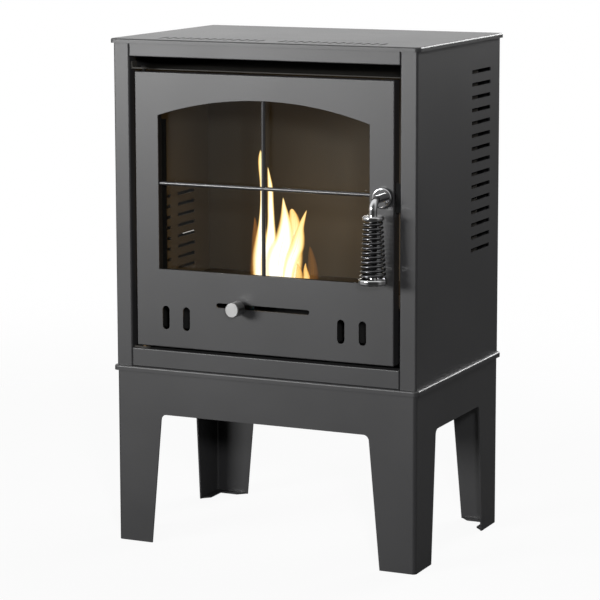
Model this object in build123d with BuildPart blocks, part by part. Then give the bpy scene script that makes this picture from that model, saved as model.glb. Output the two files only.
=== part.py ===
# Bioethanol stove: a folded sheet-steel stove body on a four-legged stand.
# Millimetres. +Z is up and the door faces -Y. The origin lies on the floor, under the middle
# of the whole stove's outer box, handle included.
# Depths called "..._depth" or "..._back" are counted from the front face towards the rear.
import os
from math import atan, degrees

from build123d import *

os.makedirs("parts", exist_ok=True)

# Stove body
body_width = 500.0
body_depth = 340.0
body_height = 498.0
body_sheet = 2.0
sheet_bend = 3.0
stile_width = 27.3
stile_return = 20.0
rear_flange = 15.0
top_flange = 18.0

# Stand
stand_height = 278.0
stand_sheet = 2.5
leg_length = 205.0
leg_top_front = 76.5
leg_foot_front = 58.0
leg_top_side = 79.0
leg_foot_side = 63.5
leg_corner_radius = 9.0
foot_flange = 14.0
stand_top_flange = 30.0

# Pressed plates on the body and on the stand
plate_overhang = 4.6
plate_sheet = 2.0
plate_edge_radius = 2.5
top_plate_height = 7.0
stand_plate_height = 8.0

# Rails between the stiles
rail_depth = 18.0
top_rail_drop = 20.0
bottom_rail_height = 28.5
rail_edge_radius = 1.5

# Air slots
vent_count = 15
vent_length = 79.0
vent_height = 6.0
vent_pitch = 19.6
vent_top_drop = 42.5
vent_front = 219.0
top_slot_count = 13
top_slot_pitch = 13.6
top_slot_length = 32.0
top_slot_width = 5.5
top_slot_front = 19.0
top_slot_middle_gap = 36.0

# Door
door_side_gap = 9.0
door_bottom_gap = 5.3
door_top_gap = 22.5
door_depth = 20.0
door_sheet = 2.5
door_edge_radius = 1.5

# Arched window
window_side_margin = 38.7
window_top_margin = 37.5
window_sill = 120.7
window_rise = 27.5
frame_sheet = 1.5
frame_depth = 12.0
frame_flange = 24.0
frame_reveal = 1.0
glazing_radius = 3.0
glazing_height = 131.5
glazing_play = 0.05
gasket_inset = 3.0
gasket_width = 9.0
gasket_thickness = 2.0
glass_thickness = 4.0
glass_margin = 12.0
glass_side_play = 0.5
glass_rail_sheet = 1.5
glass_rail_foot = 10.2
glass_rail_inset = 3.3
glass_rail_end = 8.0
rail_screw_radius = 2.0
rail_screw_head = 3.6
rail_screw_height = 2.0
rail_screw_count = 3

# Slots in the door below the window
air_slot_width = 12.0
air_slot_height = 36.5
air_slot_bottom = 27.7
air_slot_inset = 50.0
air_slot_pitch = 35.0
regulator_slot_length = 155.0
regulator_slot_height = 7.5
regulator_height = 71.0

# Regulator knob, its carriage and the tongue that moves the burner lid
knob_radius = 11.0
knob_length = 24.0
knob_gap = 8.0
knob_rest = -36.0
knob_chamfer = 1.0
stem_radius = 3.0
stem_grip = 12.0
carriage_width = 40.0
carriage_height = 25.0
carriage_sheet = 3.0
slide_clearance = 0.5
guide_sheet = 1.5
guide_lip = 7.0
guide_flange = 10.0
guide_overrun = 4.0
tongue_width = 8.0
tongue_sheet = 2.5
tongue_clearance = 0.6
fork_sheet = 1.5
fork_clearance = 1.5
fork_height = 6.5
fork_length = 10.0
fork_engagement = 8.0

# Hinge
hinge_inset = 10.0
hinge_depth = 12.0
pin_radius = 3.0
pin_fit = 0.05
pin_length = 22.0
pin_head_radius = 5.0
pin_head_height = 2.5
bush_radius = 5.0
bush_length = 8.5
bush_flange_radius = 7.0
bush_flange = 1.5
bracket_sheet = 2.5
bracket_gap = 3.5
bracket_tab = 11.0
washer_play = 0.3

# Handle and latch
handle_inset = 17.0
handle_height = 250.2
handle_standoff = 38.0
handle_rod_radius = 6.0
handle_bend = 14.0
rosette_radius = 15.5
rosette_thickness = 8.0
grip_drop = 22.0
grip_length = 101.0
cap_upper_radius = 16.0
cap_upper_height = 7.0
cap_lower_radius = 21.0
cap_lower_height = 9.0
cap_edge_radius = 2.5
wire_radius = 2.2
coil_turns = 12.5
coil_upper_radius = 12.6
coil_lower_radius = 17.4
spindle_square = 8.2
cam_fit = 0.1
cam_sheet = 3.0
cam_depth = 5.5
cam_hub_radius = 9.0
cam_reach = 24.0
cam_width = 10.0
stub_radius = 3.0
nut_flats = 10.0
nut_height = 3.6
keeper_sheet = 1.5
keeper_play = 0.6
keeper_lip = 7.5
keeper_height = 44.0

# Firebox
firebox_sheet = 1.5
firebox_side_gap = 26.0
firebox_front = 26.0
firebox_back_depth = 268.0
firebox_roof_drop = 41.0
liner_flange = 16.0
liner_play = 3.0
liner_slot_count = 8
liner_slot_length = 58.5
liner_slot_height = 5.0
liner_slot_pitch = 16.9
liner_slot_first = 74.5
liner_slot_gap = 24.0
liner_slot_above_deck = 16.6
deck_height = 114.0
deck_flange = 15.0
pan_flange = 20.0

# Burner
burner_sheet = 1.2
tank_side_gap = 16.0
tank_depth = 84.0
tank_height = 58.0
tank_radius = 6.0
rim_width = 10.0
cutout_play = 1.0
wool_play = 0.8
wool_headroom = 6.0
mouth_middle = -4.0
mouth_length = 116.0
mouth_width = 38.0
mouth_radius = 8.0
burner_middle_depth = 82.0
lid_sheet = 1.5
lid_overlap = 4.0
lid_side_overlap = 6.0
lid_clearance = 0.3
lid_guide_play = 0.8
lid_guide_lip = 4.0
arm_width = 22.0
arm_foot = 28.0

# Fasteners
bolt_radius = 3.0
bolt_flats = 10.0
bolt_head = 4.0
bolt_tail = 2.0
bolt_inset = 15.0
bolt_end_inset = 60.0
screw_radius = 1.7
screw_head_radius = 3.4
screw_head_height = 2.0
screw_length = 6.0
screw_count = 5
screw_end_inset = 60.0

# Places worked out from the sizes above
half_width = body_width / 2
handle_reach = handle_standoff + cap_lower_radius
front = (handle_reach - body_depth - plate_overhang) / 2
middle = front + body_depth / 2
body_top = stand_height + body_height
plate_under = body_top + top_plate_height - plate_sheet
stand_top = stand_height - plate_sheet
opening_half = half_width - stile_width
door_half = opening_half - door_side_gap
rail_top = stand_height + bottom_rail_height
door_bottom = rail_top + door_bottom_gap
door_top = body_top - top_rail_drop - door_top_gap
door_height = door_top - door_bottom
sill = door_bottom + window_sill
spring_line = door_top - window_top_margin - window_rise
window_side_height = spring_line - sill
window_half = door_half - window_side_margin
window_width = 2 * window_half
air_slot_outer = door_half - air_slot_inset
air_slot_inner = air_slot_outer - air_slot_pitch
frame_back = door_sheet + frame_depth
glass_front = frame_back + gasket_thickness
glass_back = glass_front + glass_thickness
glass_edge = window_half + glass_margin + glass_side_play
roof_height = body_top - firebox_roof_drop
firebox_half_width = half_width - firebox_side_gap
tank_width = 2 * (firebox_half_width - tank_side_gap)
deck_top = stand_height + deck_height
pan_top = stand_height + body_sheet
hinge_x = -(door_half - hinge_inset)
handle_x = door_half - handle_inset
handle_z = door_bottom + handle_height
regulator_z = door_bottom + regulator_height
grip_top = handle_z - grip_drop
grip_bottom = grip_top - grip_length
coil_top = grip_top - cap_upper_height
coil_bottom = grip_bottom + cap_lower_height
rim_top = deck_top + burner_sheet
burner_top_z = rim_top + burner_sheet
lid_bottom = burner_top_z + lid_clearance
lid_top = lid_bottom + lid_sheet
guide_top = lid_top + 2 * lid_clearance + burner_sheet
slide_travel = (regulator_slot_length - 2 * stem_radius - 2 * slide_clearance) / 2
lid_length = mouth_length + 2 * lid_overlap
lid_closed_end = mouth_middle + mouth_length / 2 + lid_overlap
lid_end = lid_closed_end - (slide_travel - knob_rest)
lid_width = mouth_width + 2 * lid_side_overlap
arm_bottom = guide_top + slide_clearance
arm_top = arm_bottom + fork_sheet
tongue_bottom = arm_top + tongue_clearance
carriage_front = door_sheet + slide_clearance
carriage_back = carriage_front + carriage_sheet

# Planes: drawn on "face", x is X and y is Z, and a negative extrude goes into the stove
face = Plane(origin=(0, front, 0), x_dir=(1, 0, 0), z_dir=(0, -1, 0))
# drawn on "section", x is the depth behind the front face and y is Z, with the normal along +X
section = Plane(origin=(0, front, 0), x_dir=(0, 1, 0), z_dir=(1, 0, 0))
# drawn on "plan", x is X and y is the depth behind the front face
plan = Plane(origin=(0, front, 0), x_dir=(1, 0, 0), z_dir=(0, 0, 1))


def behind(depth):
    """The face plane moved back into the stove by a depth."""
    return face.offset(-depth)


def level(height):
    """The plan plane at a height above the floor."""
    return plan.offset(height)


def folded_sheet(points, thickness, bend=0.0):
    """Section of a sheet folded along an open line, its thickness on the line's left."""
    with BuildSketch() as profile:
        with BuildLine():
            if bend > 0:
                FilletPolyline(*points, radius=bend)
            else:
                Polyline(*points)
            offset(amount=thickness, side=Side.LEFT, kind=Kind.INTERSECTION)
        make_face()
    return profile.sketch


def mirrored_points(points):
    """The same line on the other side of x = 0, drawn backwards so its left stays its left."""
    return [(-x, y) for x, y in reversed(points)]


def pressed_tray(plane, size, height, sheet, corner, edge):
    """A sheet tray whose closed face lies on the plane and whose walls go back from it."""
    with BuildPart() as tray:
        with BuildSketch(plane):
            RectangleRounded(*size, corner)
        extrude(amount=-height)
        fillet(tray.faces().sort_by(Axis(plane.origin, plane.z_dir))[-1].edges(), edge)
        offset(amount=-sheet, openings=tray.faces().sort_by(Axis(plane.origin, plane.z_dir))[0])
    return tray.part


def window_outline(growth=0.0):
    """The arched window's outline, moved outwards by a growth."""
    with BuildSketch() as outline:
        with BuildLine():
            Polyline(
                (-window_half, spring_line),
                (-window_half, sill),
                (window_half, sill),
                (window_half, spring_line),
            )
            ThreePointArc(
                (window_half, spring_line), (0, spring_line + window_rise), (-window_half, spring_line)
            )
        make_face()
        if growth:
            offset(amount=growth, kind=Kind.INTERSECTION)
    return outline.sketch


def chamfered_rectangle(width, depth, cut):
    """A rectangle with its four corners cut off at 45 degrees."""
    with BuildSketch() as rectangle:
        Rectangle(width, depth)
        chamfer(rectangle.vertices(), cut)
    return rectangle.sketch


def save(block, name):
    """Label a finished sub-part and write it to its own file."""
    block.part.label = name
    export_step(block.part, f"parts/{name}.step")


# Stand: one folded and welded skirt with four tapered corner legs, and inward foot flanges
# whose ends are cut back at 45 degrees
with BuildPart() as stand_frame:
    with BuildSketch(Plane((0, middle, 0))):
        RectangleRounded(body_width, body_depth, sheet_bend + stand_sheet)
        RectangleRounded(
            body_width - 2 * stand_sheet, body_depth - 2 * stand_sheet, sheet_bend, mode=Mode.SUBTRACT
        )
    extrude(amount=stand_top)
    with BuildSketch(Plane((0, middle, 0))):
        RectangleRounded(body_width, body_depth, sheet_bend + stand_sheet)
        Rectangle(body_width - 2 * foot_flange, body_depth - 2 * foot_flange, mode=Mode.SUBTRACT)
        front_gap = body_width - 2 * (leg_foot_front - foot_flange)
        side_gap = body_depth - 2 * (leg_foot_side - foot_flange)
        add(chamfered_rectangle(front_gap, body_depth, foot_flange), mode=Mode.SUBTRACT)
        add(chamfered_rectangle(body_width, side_gap, foot_flange), mode=Mode.SUBTRACT)
    extrude(amount=stand_sheet)
    with BuildSketch(Plane((0, middle, stand_top))):
        RectangleRounded(body_width, body_depth, sheet_bend + stand_sheet)
        Rectangle(
            body_width - 2 * stand_top_flange, body_depth - 2 * stand_top_flange, mode=Mode.SUBTRACT
        )
    extrude(amount=-stand_sheet)
    side_face = section.shift_origin((0, middle, 0))
    for cut_plane, span, leg_top, leg_foot in (
        (face, body_width, leg_top_front, leg_foot_front),
        (side_face, body_depth, leg_top_side, leg_foot_side),
    ):
        with BuildSketch(cut_plane):
            with BuildLine():
                Polyline(
                    (span / 2 - leg_foot, 0),
                    (span / 2 - leg_top, leg_length),
                    (leg_top - span / 2, leg_length),
                    (leg_foot - span / 2, 0),
                    close=True,
                )
            corners = make_face().vertices().group_by(Axis.Y)[-1]
            fillet(corners, leg_corner_radius)
        extrude(amount=body_width, both=True, mode=Mode.SUBTRACT)
    with BuildSketch(Plane((0, middle, stand_top))):
        with GridLocations(body_width - 2 * bolt_inset, body_depth - 2 * bolt_end_inset, 2, 2):
            Circle(bolt_radius)
    extrude(amount=-stand_sheet, mode=Mode.SUBTRACT)
save(stand_frame, "stand_frame")

# Plate on the stand, with a turned-down rounded lip, drilled for the body's bolts
plate_size = (body_width + 2 * plate_overhang, body_depth + 2 * plate_overhang)
with BuildPart() as stand_top_plate:
    add(
        pressed_tray(
            Plane((0, middle, stand_height)),
            plate_size,
            stand_plate_height,
            plate_sheet,
            sheet_bend + plate_overhang,
            plate_edge_radius,
        )
    )
    with BuildSketch(Plane((0, middle, stand_height))):
        with GridLocations(body_width - 2 * bolt_inset, body_depth - 2 * bolt_end_inset, 2, 2):
            Circle(bolt_radius)
    extrude(amount=-plate_sheet, mode=Mode.SUBTRACT)
save(stand_top_plate, "stand_top_plate")

# Hexagon bolts through floor pan, stand plate and stand flange, each with its nut below
with BuildPart() as body_bolts:
    bolt_places = GridLocations(body_width - 2 * bolt_inset, body_depth - 2 * bolt_end_inset, 2, 2)
    with BuildSketch(Plane((0, middle, pan_top))):
        with bolt_places:
            RegularPolygon(bolt_flats / 2, 6, major_radius=False)
    extrude(amount=bolt_head)
    with BuildSketch(Plane((0, middle, stand_top - stand_sheet))):
        with bolt_places:
            RegularPolygon(bolt_flats / 2, 6, major_radius=False)
    extrude(amount=-bolt_head)
    with BuildSketch(Plane((0, middle, pan_top))):
        with bolt_places:
            Circle(bolt_radius)
    extrude(amount=-(pan_top - stand_top + stand_sheet + bolt_head + bolt_tail))
save(body_bolts, "body_bolts")

# Floor pan of the body, its side flanges turned up against the side panels
pan_half = half_width - body_sheet
with BuildPart() as floor_pan:
    with BuildSketch(behind(stile_return)):
        pan_line = [
            (-pan_half, stand_height + pan_flange),
            (-pan_half, stand_height),
            (pan_half, stand_height),
            (pan_half, stand_height + pan_flange),
        ]
        add(folded_sheet(pan_line, body_sheet, sheet_bend))
    extrude(amount=-(body_depth - 2 * body_sheet - stile_return))
    with BuildSketch(Plane((0, middle, pan_top))):
        with GridLocations(body_width - 2 * bolt_inset, body_depth - 2 * bolt_end_inset, 2, 2):
            Circle(bolt_radius)
    extrude(amount=-body_sheet, mode=Mode.SUBTRACT)
save(floor_pan, "floor_pan")

# Side panels: stile, side and rear flange folded from one sheet, with a ladder of air slots
side_line = [
    (rear_flange - half_width, body_depth),
    (-half_width, body_depth),
    (-half_width, 0),
    (-opening_half, 0),
    (-opening_half, stile_return),
]
vent_middle = body_top - vent_top_drop - vent_height / 2 - (vent_count - 1) * vent_pitch / 2
screw_pitch = (body_height - 2 * screw_end_inset) / (screw_count - 1)
screw_middle = stand_height + body_height / 2
for side_name, side, line in (
    ("left", -1, side_line),
    ("right", 1, mirrored_points(side_line)),
):
    with BuildPart() as side_panel:
        with BuildSketch(level(stand_height)):
            add(folded_sheet(line, body_sheet, sheet_bend))
        extrude(amount=plate_under - stand_height)
        with BuildSketch(level(plate_under)):
            with Locations((side * (pan_half - top_flange / 2), body_depth / 2)):
                Rectangle(top_flange, body_depth - 2 * stile_return)
        extrude(amount=-body_sheet)
        with BuildSketch(section):
            with Locations((vent_front + vent_length / 2, vent_middle)):
                with GridLocations(0, vent_pitch, 1, vent_count):
                    RectangleRounded(vent_length, vent_height, vent_height / 4)
        extrude(amount=side * half_width, mode=Mode.SUBTRACT)
        with BuildSketch(behind(body_depth)):
            with Locations((side * (half_width - rear_flange / 2), screw_middle)):
                with GridLocations(0, screw_pitch, 1, screw_count):
                    Circle(screw_radius)
        extrude(amount=body_sheet, mode=Mode.SUBTRACT)
    save(side_panel, f"side_panel_{side_name}")

# Rails between the stiles: sheet channels with rounded front edges, open at the rear
with BuildPart() as top_rail:
    top_rail_height = plate_under - body_top + top_rail_drop
    add(
        pressed_tray(
            face.shift_origin((0, front, plate_under - top_rail_height / 2)),
            (2 * opening_half, top_rail_height),
            rail_depth,
            body_sheet,
            rail_edge_radius,
            rail_edge_radius,
        )
    )
save(top_rail, "top_rail")

with BuildPart() as bottom_rail:
    add(
        pressed_tray(
            face.shift_origin((0, front, stand_height + bottom_rail_height / 2)),
            (2 * opening_half, bottom_rail_height),
            rail_depth,
            body_sheet,
            rail_edge_radius,
            rail_edge_radius,
        )
    )
save(bottom_rail, "bottom_rail")

# Back panel against the inside of the rear flanges, with its pan-head screws
with BuildPart() as back_panel:
    with BuildSketch(behind(body_depth - body_sheet)):
        with Locations((0, (pan_top + plate_under - body_sheet) / 2)):
            Rectangle(2 * (half_width - sheet_bend), plate_under - body_sheet - pan_top)
        with Locations((0, screw_middle)):
            with GridLocations(body_width - rear_flange, screw_pitch, 2, screw_count):
                Circle(screw_radius, mode=Mode.SUBTRACT)
    extrude(amount=body_sheet)
save(back_panel, "back_panel")

with BuildPart() as back_panel_screws:
    with BuildSketch(behind(body_depth)):
        with Locations((0, screw_middle)):
            with GridLocations(body_width - rear_flange, screw_pitch, 2, screw_count):
                Circle(screw_head_radius)
    extrude(amount=-screw_head_height)
    with BuildSketch(behind(body_depth)):
        with Locations((0, screw_middle)):
            with GridLocations(body_width - rear_flange, screw_pitch, 2, screw_count):
                Circle(screw_radius)
    extrude(amount=screw_length)
save(back_panel_screws, "back_panel_screws")

# Top plate with a turned-down rounded edge and two groups of narrow air slots
with BuildPart() as top_plate:
    add(
        pressed_tray(
            Plane((0, middle, body_top + top_plate_height)),
            plate_size,
            top_plate_height,
            plate_sheet,
            sheet_bend + plate_overhang,
            plate_edge_radius,
        )
    )
    slot_group = (top_slot_count - 1) * top_slot_pitch
    with BuildSketch(level(body_top + top_plate_height)):
        with Locations((0, top_slot_front + top_slot_length / 2)):
            with GridLocations(slot_group + top_slot_middle_gap, 0, 2, 1):
                with GridLocations(top_slot_pitch, 0, top_slot_count, 1):
                    SlotOverall(top_slot_length, top_slot_width, rotation=90)
    extrude(amount=-plate_sheet, mode=Mode.SUBTRACT)
save(top_plate, "top_plate")

# Firebox liners: front flange to the side panel, slotted wall, rear flange for the back sheet
liner_line = [
    (liner_play + body_sheet - half_width, firebox_front),
    (-firebox_half_width, firebox_front),
    (-firebox_half_width, firebox_back_depth),
    (-firebox_half_width - liner_flange, firebox_back_depth),
]
liner_slot_bottom = deck_top + liner_slot_above_deck
for side_name, side, line in (
    ("left", -1, liner_line),
    ("right", 1, mirrored_points(liner_line)),
):
    with BuildPart() as firebox_liner:
        with BuildSketch(level(pan_top)):
            add(folded_sheet(line, firebox_sheet, sheet_bend))
        extrude(amount=roof_height - pan_top)
        with BuildSketch(section):
            with Locations(
                (
                    liner_slot_first + liner_slot_length + liner_slot_gap / 2,
                    liner_slot_bottom + (liner_slot_count - 1) * liner_slot_pitch / 2,
                )
            ):
                with GridLocations(
                    liner_slot_length + liner_slot_gap, liner_slot_pitch, 2, liner_slot_count
                ):
                    RectangleRounded(liner_slot_length, liner_slot_height, liner_slot_height / 4)
        extrude(amount=side * (firebox_half_width + 2 * firebox_sheet), mode=Mode.SUBTRACT)
    save(firebox_liner, f"firebox_liner_{side_name}")

# Plain sheet across the rear of the firebox
back_half = firebox_half_width + liner_flange
with BuildPart() as firebox_back:
    with BuildSketch(behind(firebox_back_depth)):
        with Locations((0, (pan_top + roof_height) / 2)):
            Rectangle(2 * back_half, roof_height - pan_top)
    extrude(amount=-firebox_sheet)
save(firebox_back, "firebox_back")

# Roof of the firebox, a plain sheet on the liners and the back
with BuildPart() as firebox_roof:
    roof_depth = firebox_back_depth + firebox_sheet - firebox_front
    with BuildSketch(level(roof_height)):
        with Locations((0, firebox_front + roof_depth / 2)):
            Rectangle(2 * back_half, roof_depth)
    extrude(amount=firebox_sheet)
save(firebox_roof, "firebox_roof")

# Deck that carries the burner, its side flanges turned down against the liners
with BuildPart() as burner_deck:
    with BuildSketch(behind(firebox_front)):
        deck_line = [
            (firebox_half_width, deck_top - deck_flange),
            (firebox_half_width, deck_top),
            (-firebox_half_width, deck_top),
            (-firebox_half_width, deck_top - deck_flange),
        ]
        add(folded_sheet(deck_line, firebox_sheet, sheet_bend))
    extrude(amount=-(firebox_back_depth - firebox_front))
    with BuildSketch(level(deck_top)):
        with Locations((0, burner_middle_depth)):
            RectangleRounded(
                tank_width + 2 * cutout_play, tank_depth + 2 * cutout_play, tank_radius + cutout_play
            )
    extrude(amount=-firebox_sheet, mode=Mode.SUBTRACT)
save(burner_deck, "burner_deck")

# Fuel tank, hung in the deck by its rim
with BuildPart() as burner_tank:
    with BuildSketch(level(rim_top)):
        with Locations((0, burner_middle_depth)):
            RectangleRounded(tank_width, tank_depth, tank_radius)
    extrude(amount=-tank_height)
    offset(amount=-burner_sheet, openings=burner_tank.faces().sort_by(Axis.Z)[-1])
    with BuildSketch(level(deck_top)):
        with Locations((0, burner_middle_depth)):
            RectangleRounded(tank_width + 2 * rim_width, tank_depth + 2 * rim_width, tank_radius)
            RectangleRounded(
                tank_width - 2 * burner_sheet,
                tank_depth - 2 * burner_sheet,
                tank_radius - burner_sheet,
                mode=Mode.SUBTRACT,
            )
    extrude(amount=burner_sheet)
save(burner_tank, "burner_tank")

# Ceramic wool that soaks up the fuel
with BuildPart() as burner_wool:
    with BuildSketch(level(rim_top - tank_height + burner_sheet)):
        with Locations((0, burner_middle_depth)):
            RectangleRounded(
                tank_width - 2 * burner_sheet - 2 * wool_play,
                tank_depth - 2 * burner_sheet - 2 * wool_play,
                tank_radius - burner_sheet,
            )
    extrude(amount=tank_height - burner_sheet - wool_headroom)
save(burner_wool, "burner_wool")

# Burner top with its long mouth
with BuildPart() as burner_top:
    with BuildSketch(level(rim_top)):
        with Locations((0, burner_middle_depth)):
            RectangleRounded(tank_width + 2 * rim_width, tank_depth + 2 * rim_width, tank_radius)
        with Locations((mouth_middle, burner_middle_depth)):
            RectangleRounded(mouth_length, mouth_width, mouth_radius, mode=Mode.SUBTRACT)
    extrude(amount=burner_sheet)
save(burner_top, "burner_top")

# Two guide strips that hold the lid down on the burner top and let it slide
lid_front = burner_middle_depth - lid_width / 2
guide_web = lid_front - lid_guide_play
guide_start = lid_end - (slide_travel + knob_rest) - lid_length
with BuildPart() as lid_guides:
    with BuildSketch(section.offset(guide_start)):
        guide_line = [
            (guide_web - rim_width, burner_top_z),
            (guide_web, burner_top_z),
            (guide_web, guide_top - burner_sheet),
            (guide_web + lid_guide_play + lid_guide_lip, guide_top - burner_sheet),
        ]
        add(folded_sheet(guide_line, burner_sheet))
        mirror(about=Plane.YZ.offset(burner_middle_depth))
    extrude(amount=lid_closed_end - guide_start)
save(lid_guides, "lid_guides")

# Sliding lid, drawn where the knob stands at rest
with BuildPart() as burner_lid:
    with BuildSketch(level(lid_bottom)):
        with Locations((lid_end - lid_length / 2, burner_middle_depth)):
            RectangleRounded(lid_length, lid_width, lid_side_overlap / 2)
    extrude(amount=lid_sheet)
save(burner_lid, "burner_lid")

# Arm on the lid, stepped up over the front guide, with a fork for the knob's tongue
fork_front = firebox_front + slide_clearance * 2
fork_half = tongue_width / 2 + fork_clearance
arm_right = lid_end - lid_overlap
bar_length = knob_rest + 2 * fork_half - arm_right + arm_width
with BuildPart() as lid_arm:
    with BuildSketch(section.offset(arm_right - arm_width)):
        arm_line = [
            (fork_front, arm_bottom),
            (guide_web + 2 * lid_guide_lip, arm_bottom),
            (guide_web + 2 * lid_guide_lip, lid_top),
            (burner_middle_depth + arm_foot / 2, lid_top),
        ]
        add(folded_sheet(arm_line, fork_sheet))
    extrude(amount=arm_width)
    with BuildSketch(level(arm_bottom)):
        with Locations((arm_right - arm_width, fork_front)):
            Rectangle(bar_length, fork_length, align=(Align.MIN, Align.MIN))
    extrude(amount=fork_sheet)
    with BuildSketch(level(arm_top)):
        with Locations((knob_rest, fork_front + fork_length / 2)):
            with GridLocations(2 * fork_half + fork_sheet, 0, 2, 1):
                Rectangle(fork_sheet, fork_length)
    extrude(amount=fork_height)
save(lid_arm, "lid_arm")

# Hinge brackets on the left stile, their plates rounded about the pin
bracket_bottom = door_top + bracket_gap
bracket_plate = [
    (-opening_half, hinge_depth - bush_flange_radius),
    (hinge_x, hinge_depth - bush_flange_radius),
    (hinge_x, hinge_depth + bush_flange_radius),
    (-opening_half, hinge_depth + bush_flange_radius),
]
bracket_levels = (("upper", bracket_bottom), ("lower", rail_top))
for bracket_name, bracket_z in bracket_levels:
    with BuildPart() as hinge_bracket:
        with BuildSketch(level(bracket_z)):
            with BuildLine():
                Polyline(bracket_plate[1], bracket_plate[0], bracket_plate[3], bracket_plate[2])
                ThreePointArc(
                    bracket_plate[1], (hinge_x + bush_flange_radius, hinge_depth), bracket_plate[2]
                )
            make_face()
            with Locations((hinge_x, hinge_depth)):
                Circle(pin_radius, mode=Mode.SUBTRACT)
        extrude(amount=bracket_sheet)
        if bracket_name == "upper":
            with BuildSketch(level(bracket_z)):
                with Locations((bracket_sheet / 2 - opening_half, hinge_depth)):
                    Rectangle(bracket_sheet, 2 * bush_flange_radius)
            extrude(amount=bracket_tab)
    save(hinge_bracket, f"hinge_bracket_{bracket_name}")

# Hinge pins: the upper hangs from its bracket by its head, the lower stands on the rail
with BuildPart() as hinge_pin_upper:
    with BuildSketch(level(bracket_bottom + bracket_sheet)):
        with Locations((hinge_x, hinge_depth)):
            Circle(pin_head_radius)
    extrude(amount=pin_head_height)
    fillet(hinge_pin_upper.faces().sort_by(Axis.Z)[-1].edges(), pin_head_height / 3)
    with BuildSketch(level(bracket_bottom + bracket_sheet)):
        with Locations((hinge_x, hinge_depth)):
            Circle(pin_radius)
    extrude(amount=-pin_length)
save(hinge_pin_upper, "hinge_pin_upper")

with BuildPart() as hinge_pin_lower:
    with BuildSketch(level(rail_top)):
        with Locations((hinge_x, hinge_depth)):
            Circle(pin_radius)
    extrude(amount=pin_length)
save(hinge_pin_lower, "hinge_pin_lower")

with BuildPart() as thrust_washer:
    with BuildSketch(level(rail_top + bracket_sheet)):
        with Locations((hinge_x, hinge_depth)):
            Circle(bush_flange_radius)
            Circle(pin_radius, mode=Mode.SUBTRACT)
    extrude(amount=door_bottom_gap - bracket_sheet - washer_play)
save(thrust_washer, "thrust_washer")

# Flanged bushes in the door's top and bottom returns
for bush_name, bush_plane, inwards in (
    ("upper", level(door_top), -1),
    ("lower", level(door_bottom), 1),
):
    with BuildPart() as hinge_bush:
        with BuildSketch(bush_plane):
            with Locations((hinge_x, hinge_depth)):
                Circle(bush_radius)
        extrude(amount=inwards * bush_length)
        with BuildSketch(bush_plane.offset(inwards * door_sheet)):
            with Locations((hinge_x, hinge_depth)):
                Circle(bush_flange_radius)
        extrude(amount=inwards * bush_flange)
        with BuildSketch(bush_plane):
            with Locations((hinge_x, hinge_depth)):
                Circle(pin_radius + pin_fit)
        extrude(amount=inwards * bush_length, mode=Mode.SUBTRACT)
    save(hinge_bush, f"hinge_bush_{bush_name}")

# Door panel: folded tray with the window, the air slots, the regulator slot and the holes
# for the handle, the latch cam and the hinge bushes
cam_slot_top = handle_z + cam_width
cam_slot_bottom = handle_z - cam_reach - cam_width / 2
with BuildPart() as door_panel:
    add(
        pressed_tray(
            face.shift_origin((0, front, (door_bottom + door_top) / 2)),
            (2 * door_half, door_height),
            door_depth,
            door_sheet,
            door_edge_radius,
            door_edge_radius,
        )
    )
    with BuildSketch(face):
        add(window_outline())
        with Locations((0, door_bottom + air_slot_bottom + air_slot_height / 2)):
            for slot_place in (air_slot_inner, air_slot_outer):
                with GridLocations(2 * slot_place, 0, 2, 1):
                    SlotOverall(air_slot_height, air_slot_width, rotation=90)
        with Locations((0, regulator_z)):
            SlotOverall(regulator_slot_length, regulator_slot_height)
        with Locations((handle_x, handle_z)):
            Circle(handle_rod_radius + pin_fit)
    extrude(amount=-door_sheet, mode=Mode.SUBTRACT)
    with BuildSketch(section.offset(door_half)):
        with Locations((cam_depth + cam_sheet / 2, (cam_slot_top + cam_slot_bottom) / 2)):
            Rectangle(cam_sheet + 4 * keeper_play, cam_slot_top - cam_slot_bottom)
    extrude(amount=-door_sheet, mode=Mode.SUBTRACT)
    with BuildSketch(level(door_bottom)):
        with Locations((hinge_x, hinge_depth)):
            Circle(bush_radius)
    extrude(amount=door_height, mode=Mode.SUBTRACT)
save(door_panel, "door_panel")

# Window frame: a reveal round the opening with a flange behind it that carries the glass
with BuildPart() as window_frame:
    with BuildSketch(behind(door_sheet)):
        add(window_outline(frame_reveal + frame_sheet))
        add(window_outline(frame_reveal), mode=Mode.SUBTRACT)
    extrude(amount=-frame_depth)
    with BuildSketch(behind(frame_back)):
        add(window_outline(frame_flange))
        add(window_outline(frame_reveal), mode=Mode.SUBTRACT)
    extrude(amount=frame_sheet)
    rail_screw_pitch = (window_side_height - 4 * glass_rail_end) / (rail_screw_count - 1)
    rail_screw_x = glass_edge + (glass_rail_foot + glass_rail_sheet) / 2
    rail_screw_z = sill + window_side_height / 2
    with BuildSketch(behind(frame_back)):
        with Locations((0, rail_screw_z)):
            with GridLocations(2 * rail_screw_x, rail_screw_pitch, 2, rail_screw_count):
                Circle(rail_screw_radius)
    extrude(amount=frame_sheet, mode=Mode.SUBTRACT)
save(window_frame, "window_frame")

# Glazing bars: an upright and a level bar welded as a cross, ending on the reveal
glazing_depth = door_sheet + glazing_radius
with BuildPart() as glazing_bars:
    with BuildSketch(level(sill - frame_reveal)):
        with Locations((0, glazing_depth)):
            Circle(glazing_radius)
    extrude(amount=window_side_height + window_rise + 2 * frame_reveal - glazing_play)
    with BuildSketch(section.offset(-window_half - frame_reveal)):
        with Locations((glazing_depth, sill + glazing_height)):
            Circle(glazing_radius)
    extrude(amount=window_width + 2 * frame_reveal)
save(glazing_bars, "glazing_bars")

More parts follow.
